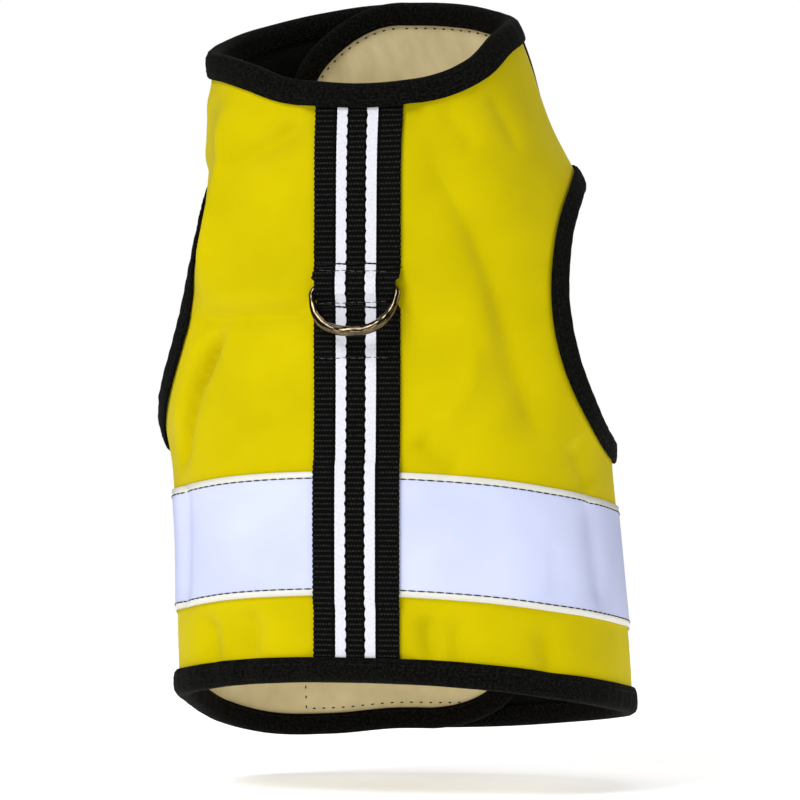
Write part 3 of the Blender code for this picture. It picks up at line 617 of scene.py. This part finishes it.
def stitchLine(bm, spots, lift, size):      # stitches along a close row of angles and heights
    places, normals = surfacePoint(spots[:, 0], spots[:, 1], lift), surfaceFrame(spots[:, 0], spots[:, 1])[2]
    gone = addUp(np.linalg.norm(np.diff(places, axis=0), axis=1))
    marks = np.arange(size["pitch"] / 2, gone[-1] - size["long"] / 2, size["pitch"])
    for first in range(0, len(marks), 30):      # a few at a time, which is quicker
        few, passed = bmesh.new(), bpy.data.meshes.new("few")
        for mark in marks[first:first + 30]:
            back, spot, ahead = (np.array([np.interp(mark + step, gone, column) for column in places.T])
                                 for step in (-size["long"] / 3, 0.0, size["long"] / 3))
            addStitch(few, spot, ahead - back, [np.interp(mark, gone, column) for column in normals.T], size)
        few.to_mesh(passed)
        few.free()
        bm.from_mesh(passed)
        bpy.data.meshes.remove(passed)


def patchFrame(size, inset):      # the row of stitches round a patch
    start = size["angleFrom"] + size["slant"] + inset / mmPerDegree
    end = size["angleTo"] - inset / mmPerDegree
    angles = np.linspace(start, end, 60)
    low, high = (edgeHeight(edgeRows[size[k][0]], angles) + size[k][1] + sign * inset
                 for k, sign in (("low", 1.0), ("high", -1.0)))
    up, down = np.linspace(low[-1], high[-1], 30)[1:], np.linspace(high[0], low[0], 30)[1:]
    return np.concatenate([rowOf(angles, low), rowOf(end, up), rowOf(angles, high)[::-1], rowOf(start, down)])


# The pieces

shellSize = {"angleFrom": -216.0, "angleTo": 236.0, "low": ("hem", 0.0), "high": ("neck", 0.0), "step": 1.6,
             "lifts": (0.10, 1.10), "cutToPanel": True}
shellCloth = clothSheet("shellCloth", shellSize, coatedOxford(), ["shell"])

liningSize = {**shellSize, "lifts": (-1.20, -0.20)}
liningCloth = clothSheet("liningCloth", liningSize, brushedJersey(), ["lining"])

tapeSize = {"angleFrom": -133.5, "angleTo": 186.0, "low": ("hem", 25.0), "high": ("hem", 60.6), "step": 1.7,
            "lifts": (1.3, 1.85), "cutToPanel": False, "width": 35.6, "stitchIn": 1.9,
            "strapAngle": 13.2, "endIn": 2.0}      # where its stitches stop, at the strap and at its own ends
tapeBand = clothSheet("tapeBand", tapeSize, glassBeadTape(), ["reflective_tape"])

patchSizes = [  # piece, node, angles, low and high edge, lifts, slant, the edge that ends under the binding
    ("neckHooks", "hook_neck", 100.5, 183.0, ("neck", -30.0), ("neck", -7.9), (1.3, 2.2), 6.0, None),
    ("neckLoops", "loop_neck", -196.0, -108.0, ("neck", -33.0), ("neck", -4.8), (-2.45, -1.40), 0.0, "high"),
    ("bellyHooks", "hook_belly", -184.0, -137.5, ("hem", 9.0), ("hem", 52.0), (1.3, 2.3), 0.0, None),
    ("bellyLoops", "loop_belly", 126.0, 186.0, ("hem", 4.8), ("hem", 52.0), (-2.45, -1.40), 0.0, "low"),
]
hookTape = hookAndLoopPile("nylonHookTape", "#050505", "#121211", 0.9)
loopTape = hookAndLoopPile("nylonLoopTape", "#040404", "#0D0D0C", 0.5)
patches, patchCuts = [], []
for name, node, start, end, low, high, lifts, slant, tucked in patchSizes:
    size = {"angleFrom": start, "angleTo": end, "low": low, "high": high, "step": 2.0, "lifts": lifts,
            "cutToPanel": False, "slant": slant, "tucked": tucked}
    patchCuts.append(size)
    patches.append(clothSheet(name, size, hookTape if lifts[0] > 0.0 else loopTape, [node]))

strapSize = {"half": 12.5, "narrow": 11.62, "thick": 1.15, "lift": 1.45, "overTape": 2.2, "endInset": 1.9,
             "ribPitch": 1.5, "ribHeight": 0.4, "yarnPitch": 0.9, "stripeMiddle": 4.48, "stripeWidth": 2.8,
             "scallopPitch": 3.0, "scallop": 0.32, "rowsPerRib": 4, "columns": 56, "sway": 0.4,
             "rise": 2.45, "dome": 0.6, "ringGap": 0.15}
ringSize = {"height": 56.3, "legs": 0.97, "bow": 1.5, "deep": 0.97, "deepBow": 1.3, "half": 12.7,
            "reach": 14.0, "lift": 2.75, "tilt": 22.0, "power": 2.4, "corner": 2.8, "around": 20, "along": 90}
tunnel = [  # offset from the ring's bar, share of the rise, share of the narrowing, share of the dome
    (-9.0, 0.0, 0.0, 0.0), (-7.0, 0.0, 0.0, 0.6), (-4.6, 0.34, 1.0, 1.0), (-2.1, 1.0, 1.0, 0.0),
    (1.2, 1.0, 0.9, 0.0), (2.1, 1.0, 0.2, 0.0), (3.2, 0.71, 0.0, 0.44), (4.6, 0.34, 0.0, 1.0),
    (7.0, 0.0, 0.0, 0.6), (9.0, 0.0, 0.0, 0.0),
]
outward = surfaceFrame(np.array(0.0), np.array(ringSize["height"]))[2] * ringSize["lift"]
ringBar = np.array([0.0, float((bodyForm(0.0, ringSize["height"]) + outward)[1]), ringSize["height"]])
spineHem, spineNeck = float(edgeHeight(hemHeights, 0.0)), float(edgeHeight(neckHeights, 0.0))


def strapLift(z):      # the lift of the strap's underside, its half width, the tunnel's rise and its dome
    foot, top = spineHem + tapeSize["low"][1], spineHem + tapeSize["high"][1]
    marks = [ringSize["height"] + row[0] for row in tunnel]
    rise, pinch, dome = (np.interp(z, marks, [row[k] for row in tunnel], left=0.0, right=0.0)
                         for k in (1, 2, 3))
    over = smooth(np.interp(z, [foot - 4.5, foot - 1.0, top + 1.0, top + 4.5], [0.0, 1.0, 1.0, 0.0]))
    lift = strapSize["lift"] + (strapSize["overTape"] - strapSize["lift"]) * over + strapSize["rise"] * rise
    half = strapSize["half"] + (strapSize["narrow"] - strapSize["half"]) * smooth(pinch)
    return lift, half, rise, strapSize["dome"] * dome


def makeStrap():
    foot, top = spineHem + strapSize["endInset"], spineNeck - strapSize["endInset"]
    rows = int(round((top - foot) / strapSize["ribPitch"] * strapSize["rowsPerRib"]))
    bm, i, j = flatGrid(strapSize["columns"], rows)
    z = foot + (top - foot) * j / rows
    across = i / strapSize["columns"] * 2.0 - 1.0
    _, half, rise, _ = strapLift(z)
    lx, lz, lu, lv = keepNumbers(bm, {
        "share": across, "height": z, "across": across * half - strapSize["sway"] * rise, "along": z})
    made = bmesh.ops.extrude_face_region(bm, geom=bm.faces[:])["geom"]
    under = {p for p in made if isinstance(p, bmesh.types.BMVert)}
    for group, thick in (([p for p in bm.verts if p not in under], strapSize["thick"]), (list(under), 0.0)):
        share, z = (np.array([p[k] for p in group]) for k in (lx, lz))
        extra = np.full(len(group), thick)
        lift, half, rise, dome = strapLift(z)
        rib = 0.5 + 0.5 * np.cos(z / strapSize["ribPitch"] * math.tau)
        half = half + 0.16 * rib - 0.1
        x = share * half
        if thick:
            row = np.rint(z / strapSize["ribPitch"])
            woven = x - strapSize["sway"] * rise
            tick = 0.5 + 0.5 * np.cos((woven / strapSize["yarnPitch"] + 0.5 * (row % 2)) * math.tau)
            aside = np.abs(woven) - strapSize["stripeMiddle"]
            plain = np.exp(-(aside / (strapSize["stripeWidth"] / 2 + 0.5)) ** 8)
            ticked = rib * (0.55 + 0.45 * tick) - 0.6
            raised = strapSize["ribHeight"] * ticked * (1.0 - 0.75 * plain) + 0.06 * plain
            extra = extra + raised - 0.35 * np.abs(share) ** 16
        places = surfacePoint(x / strapScale(z), z, lift + extra - dome * np.abs(share) ** 5)
        flat = rise > 0.999
        past = ringBar[1] - ringSize["deep"] - strapSize["ringGap"] - extra      # clear of the ring's bar
        places[flat, 1] = np.minimum(places[flat, 1], past[flat])
        placePoints(group, places)
    mapCloth(bm, lu, lv)
    return finishPiece("backStrap", bm, stripedWebbing(), replaces=["webbing"])


backStrap = makeStrap()

trimSize = {"strapClear": 13.2, "strapRamp": 17.0, "strapRise": 1.45, "gap": 0.03, "reachOut": 7.3,
            "unevenness": 0.12, "seamIn": 5.5, "seamOut": 2.57, "seamUnder": -2.54,
            "cut": 0.0168}      # its cut is in metres
bindingStitch = {"pitch": 3.0, "long": 2.3, "wide": 0.42, "high": 0.3}
bindingSeams, liningSeams = bmesh.new(), bmesh.new()
# Only the thread's short loops show on the far side of a seam.
underStitch = {"pitch": 3.0, "long": 1.0, "wide": 0.5, "high": 0.3, "onLining": -1.24, "onShell": 1.14}
trimProfile = [  # inset, lift, rises over the strap, uneven
    (7.15, 1.55, 1, 0), (7.45, 1.95, 1, 0.4), (6.9, 2.38, 1, 1), (5.4, 2.66, 1, 1), (3.4, 2.72, 1, 1),
    (1.6, 2.55, 1, 1), (0.55, 2.0, 0.6, 0.6), (0.05, 1.0, 0.2, 0.3), (0.0, -0.1, 0, 0), (0.1, -1.2, 0, 0.3),
    (0.6, -2.15, 0, 0.6), (1.7, -2.66, 0, 1), (3.6, -2.74, 0, 1), (5.4, -2.6, 0, 1), (6.3, -2.25, 0, 0.5),
    (6.5, -1.85, 0, 0), (6.2, -1.62, 0, 0), (3.5, -1.6, 0, 0), (1.0, -1.6, 0, 0), (1.0, 1.5, 1, 0),
    (3.5, 1.52, 1, 0),
]


def boundTrim(name, spots, ways, closed, node, seed):
    count, size = len(spots), len(trimProfile)
    ride = spots[:, 0] * strapScale(spots[:, 1])
    ramp = trimSize["strapRamp"] - trimSize["strapClear"]
    over = 1.0 - smooth((np.abs(ride) - trimSize["strapClear"]) / ramp)
    far = runLengths(spots)
    wave = np.sin(far * 0.47 + seed) * np.sin(far * 0.19 + 2.0 * seed) + 0.6 * np.sin(far * 1.31 + seed * 3.0)
    bm, i, j = flatGrid(count if closed else count - 1, size)
    columns = []
    for k, (inset, lift, rises, uneven) in enumerate(trimProfile):
        wander = uneven * 0.6 * trimSize["unevenness"] * np.sin(far * 0.33 + k * 0.4 + seed)
        at = stepIn(spots, ways, inset + wander)
        rolled = np.sign(lift) * uneven * trimSize["unevenness"] * (wave + 0.5 * np.sin(far * 0.8 + k * 1.1))
        columns.append(surfacePoint(at[:, 0], at[:, 1], lift + rolled + rises * trimSize["strapRise"] * over))
    seam = stepIn(spots, ways, trimSize["seamIn"])
    stitchLine(bindingSeams, seam, trimSize["seamOut"] + trimSize["strapRise"] * over, bindingStitch)
    stitchLine(bindingSeams, seam, trimSize["seamUnder"], bindingStitch)
    if name in ("neckTrim", "rightSideTrim"):      # the wing's own seam, which shows on its lining
        row = stepIn(spots, ways, trimSize["reachOut"] + 0.2)
        stitchLine(liningSeams, row[(spots[:, 1] > 70.0) & (spots[:, 0] > 96.0)],
                   underStitch["onLining"], underStitch)
    places = np.stack(columns, axis=1)
    placePoints(bm.verts, places[i % count, j % size])
    steps = [math.dist(a[:2], b[:2]) for a, b in zip(trimProfile, trimProfile[1:] + trimProfile[:1])]
    girth = addUp(steps)
    step = np.append(far, far[-1] + 1.0)
    lu, lv = keepNumbers(bm, {"across": girth[j], "along": step[i]})
    mapCloth(bm, lu, lv)
    bmesh.ops.remove_doubles(bm, verts=bm.verts[:], dist=1e-7)
    if not closed:
        bmesh.ops.holes_fill(bm, edges=[e for e in bm.edges if e.is_boundary], sides=0)
    return finishPiece(name, bm, bindingCloth, replaces=[node])


bindingCloth = brushedBinding()
trimBreaks = [  # piece, node, angle and height where the strip starts
    ("hemTrim", "trim_hem", cut["frontAngle"], -44.0),
    ("rightSideTrim", "trim_right_side", cut["bellyEnd"], -55.0),
    ("neckTrim", "trim_neck", cut["wingStart"] - 2.0, float(edgeHeight(neckHeights, cut["wingStart"] - 2.0))),
    ("frontTrim", "trim_front", cut["frontAngle"], 122.0),
]
trimStarts = [int(np.argmin((outerEdge[:, 0] - a) ** 2 + (outerEdge[:, 1] - z) ** 2))
              for _, _, a, z in trimBreaks]
for k, (name, node, _, _) in enumerate(trimBreaks):
    first, last = trimStarts[k], trimStarts[(k + 1) % len(trimStarts)]
    index = np.arange(first, last + 1 if last > first else last + 1 + len(outerEdge)) % len(outerEdge)
    spots = outerEdge[index].copy()
    for end, other in ((0, 1), (-1, -2)):
        gap = runLengths(spots[[end, other]])[-1]
        spots[end] += (spots[other] - spots[end]) * (trimSize["gap"] / 2 / gap)
    boundTrim(name, spots, outerWays[index], False, node, 1.0 + k)
boundTrim("armholeTrim", leftEdge, leftWays, True, "trim_armhole_left", 6.0)


def makeRing():
    half, reach, power, corner = ringSize["half"], ringSize["reach"], ringSize["power"], ringSize["corner"]
    t = np.linspace(0.0, math.pi, ringSize["along"])[1:-1]
    bow = rowOf(-half * np.sign(np.cos(t)) * np.abs(np.cos(t)) ** (2 / power),
                reach * np.abs(np.sin(t)) ** (2 / power))
    bow = bow[bow[:, 1] > corner]
    q = np.radians(np.linspace(90.0, 0.0, 8))
    turnIn = rowOf(half - corner + corner * np.sin(q), corner - corner * np.cos(q))
    bar = rowOf(np.linspace(half - corner, corner - half, 12)[1:-1], 0.0)
    path = np.concatenate([bow, turnIn, bar, turnIn[::-1] * np.array([-1.0, 1.0])])
    tilt = math.radians(ringSize["tilt"])
    down, side = np.array([0.0, -math.sin(tilt), -math.cos(tilt)]), np.array([1.0, 0.0, 0.0])
    face = np.cross(down, side)
    centres = path[:, :1] * side + path[:, 1:] * down
    outs = np.cross(unit(np.roll(centres, -1, axis=0) - np.roll(centres, 1, axis=0)), face)
    bm, i, j = flatGrid(len(path), ringSize["around"])
    i, p = i % len(path), (j % ringSize["around"]) / ringSize["around"] * math.tau
    heavy = smooth((path[i, 1] - 4.0) / 8.5)     # the bow is heavier than the legs
    wide = ringSize["legs"] + (ringSize["bow"] - ringSize["legs"]) * heavy
    deep = ringSize["deep"] + (ringSize["deepBow"] - ringSize["deep"]) * heavy
    places = ringBar + centres[i] + (wide * np.cos(p))[:, None] * outs[i] + (deep * np.sin(p))[:, None] * face
    placePoints(bm.verts, places)
    bmesh.ops.remove_doubles(bm, verts=bm.verts[:], dist=1e-7)
    return finishPiece("leadRing", bm, darkBrassPlating(), body="ring", replaces=["d_ring"])


makeRing()

blackThread = bondedThread("blackBondedThread", "#050505", "#141413")
# grey lines on the strap: the two beside the ring's tunnel are painted shade at the tunnel's edges, drawn as
# thin grey stitches
greyThreadAndShadeLines = bondedThread("greyBondedThreadAndShade", "#3B3B40", "#5A5A60")
finishPiece("bindingStitches", bindingSeams, blackThread)

tapeStitch = {"pitch": 2.7, "long": 2.68, "wide": 0.42, "high": 0.3, "lift": 1.9}
tapeSeams = bmesh.new()
for low in (tapeSize["low"][1] + tapeSize["stitchIn"], tapeSize["high"][1] - tapeSize["stitchIn"]):
    for start, end in ((tapeSize["angleFrom"] + tapeSize["endIn"], -tapeSize["strapAngle"]),
                       (tapeSize["strapAngle"], tapeSize["angleTo"] - tapeSize["endIn"])):
        angles = np.linspace(start, end, 200)
        row = rowOf(angles, edgeHeight(hemHeights, angles) + low)
        stitchLine(tapeSeams, row, tapeStitch["lift"], tapeStitch)
tapeStitches = finishPiece("tapeStitches", tapeSeams, blackThread)

patchStitch = {"pitch": 3.0, "long": 2.0, "wide": 0.4, "high": 0.3}
patchSeams, shellSeams = bmesh.new(), bmesh.new()
for size in patchCuts:
    hooks = size["lifts"][0] > 0.0
    lift = size["lifts"][1] + 0.03 if hooks else size["lifts"][0] - 0.03
    stitchLine(patchSeams, patchFrame(size, 1.2), lift, patchStitch)
    if not hooks:
        stitchLine(shellSeams, patchFrame(size, 3.0), underStitch["onShell"], underStitch)
angles = np.linspace(-132.0, -206.0, 80)      # the left front's seam beside its patch, on the lining
down = edgeHeight(hemHeights, angles[0]) + np.linspace(46.0, 8.2, 30)
row = np.concatenate([rowOf(angles[0], down), rowOf(angles, edgeHeight(hemHeights, angles) + 8.0)])
stitchLine(liningSeams, row, underStitch["onLining"], underStitch)
finishPiece("patchStitches", patchSeams, blackThread)
liningStitches = finishPiece("liningStitches", liningSeams, blackThread)
shellStitches = finishPiece("shellStitches", shellSeams, blackThread)

strapRows = [  # height, lean, reach, grey line or black thread; the grey lines at 60.5 and 51.5 are painted shade at the tunnel's edges
    (62.6, 0.012, 11.3, False), (60.5, -0.02, 10.9, True), (51.5, 0.02, 10.9, True),
    (50.2, -0.01, 11.3, False), (35.7, 0.015, 10.9, True),
]
thickStitch = {"pitch": 1.5, "long": 1.8, "wide": 0.6, "high": 0.45}
thinStitch = {"pitch": 2.3, "long": 2.0, "wide": 0.26, "high": 0.2}
tailStitch = {"pitch": 0.7, "long": 1.0, "wide": 0.3, "high": 0.3}
blackSeams, greySeamsAndShadeLines = bmesh.new(), bmesh.new()
for height, lean, reach, grey in strapRows:
    x = np.linspace(-reach, reach, 60)
    z = height + lean * x + 0.1 * np.sin(x * 0.8 + height)
    lift, half, _, dome = strapLift(z)
    top = lift + strapSize["thick"] + 0.05 - dome * np.abs(x / half) ** 5
    stitchLine(greySeamsAndShadeLines if grey else blackSeams, rowOf(x / strapScale(z), z), top,
               thinStitch if grey else thickStitch)
x = np.linspace(10.8, 13.4, 12)      # the thread's loose end beside the strap
z = 61.3 + 0.25 * np.sin((x - 10.8) * 0.9)
lift = np.interp(x, [10.8, 12.4, 13.4], [2.9, 2.8, 1.6])
stitchLine(blackSeams, rowOf(x / strapScale(z), z), lift, tailStitch)
strapStitches = finishPiece("strapStitches", blackSeams, blackThread)
strapGreyStitchesAndShadeLines = finishPiece("strapGreyStitchesAndShadeLines", greySeamsAndShadeLines, greyThreadAndShadeLines)

# Floor, light and camera

viewSize = {"azimuth": 15.5, "distance": 1600.0, "target": (-1.95, 0.0, 23.67),
            "frameWidth": 236.7, "floor": -90.5}


def backdropCloth():
    # Matt white paper with a little light of its own, so that it stays plain and pale.
    made, tree, place = newMaterial("whitePaper", {
        "Roughness": 1.0, "Specular IOR Level": 0.0, "Emission Color": (1.0, 1.0, 1.0, 1.0),
        "Emission Strength": 0.47}, False)
    tooth = addNode(tree, "TexNoise", {"Scale": 1 / 4.0}, {"Vector": place})
    shade = addNode(tree, "ValToRGB", {"stops": [(0.0, "#FAFAFA"), (1.0, "#FFFFFF")]}, {"Fac": tooth})
    driveShader(tree, {"Base Color": shade})
    return made


def makeBackdrop():      # a round sheet of white paper on the floor
    bm = bmesh.new()
    bmesh.ops.create_circle(bm, cap_ends=True, cap_tris=False, segments=96, radius=0.9)
    for vert in bm.verts:
        vert.co.z = viewSize["floor"] * mm
    mesh = bpy.data.meshes.new("floorPaper")
    bm.to_mesh(mesh)
    bm.free()
    mesh.materials.append(backdropCloth())
    addObject("floorPaper", mesh)


makeBackdrop()


def addLamp(name, azimuth, elevation, distance, size, power):
    data = bpy.data.lights.new(name, "AREA")
    data.shape, data.size, data.energy = "DISK", size, power
    lamp = addObject(name, data)
    a, e = math.radians(azimuth), math.radians(elevation)
    way = Vector((math.sin(a) * math.cos(e), -math.cos(a) * math.cos(e), math.sin(e)))
    lamp.location = way * distance + Vector(viewSize["target"]) * mm
    lamp.rotation_euler = way.to_track_quat("Z", "Y").to_euler()


lamps = [  # name, azimuth, elevation, distance and size in metres, power
    ("keySoftbox", -26.0, 42.0, 1.9, 0.9, 21.0),
    ("lowSoftbox", -8.0, 2.0, 1.9, 0.6, 4.4),
    ("rightSoftbox", 98.0, 20.0, 1.9, 1.2, 8.0),
    ("rearSoftbox", 185.0, 30.0, 1.9, 1.4, 7.0),
    ("topSoftbox", 15.0, 88.0, 1.8, 1.2, 8.5),
    ("sparkLamp", 40.0, 6.0, 1.7, 0.24, 1.6),
]
for row in lamps:
    addLamp(*row)
world = bpy.data.worlds.new("studioWhite")
bpy.context.scene.world = world
world.use_nodes = True
sky = world.node_tree
path = addNode(sky, "LightPath")
# One world lights the cloth, one is what the camera sees, and one is what shines in the ring.
fill, paper, dim = (addNode(sky, "Background", {"Color": (1.0, 1.0, 1.0, 1.0), "Strength": strength})
                    for strength in (0.1, 1.0, 0.06))
both = addNode(sky, "MixShader", {}, {0: path.outputs["Is Camera Ray"], 1: fill, 2: paper})
seen = addNode(sky, "MixShader", {}, {0: path.outputs["Is Glossy Ray"], 1: both, 2: dim})
sky.links.new(seen.outputs[0], sky.nodes["World Output"].inputs["Surface"])
bpy.context.scene.view_settings.view_transform = "Standard"     # plain studio colours

cameraData = bpy.data.cameras.new("photoCamera")
cameraData.sensor_width = 36.0
cameraData.lens = 36.0 * viewSize["distance"] / viewSize["frameWidth"]
camera = addObject("photoCamera", cameraData)
azimuth = math.radians(viewSize["azimuth"])
back = Vector((math.sin(azimuth), -math.cos(azimuth), 0.0))
camera.location = (Vector(viewSize["target"]) + back * viewSize["distance"]) * mm
camera.rotation_euler = (math.pi / 2, 0.0, azimuth)
bpy.context.scene.camera = camera
print("floor, lamps and camera made")
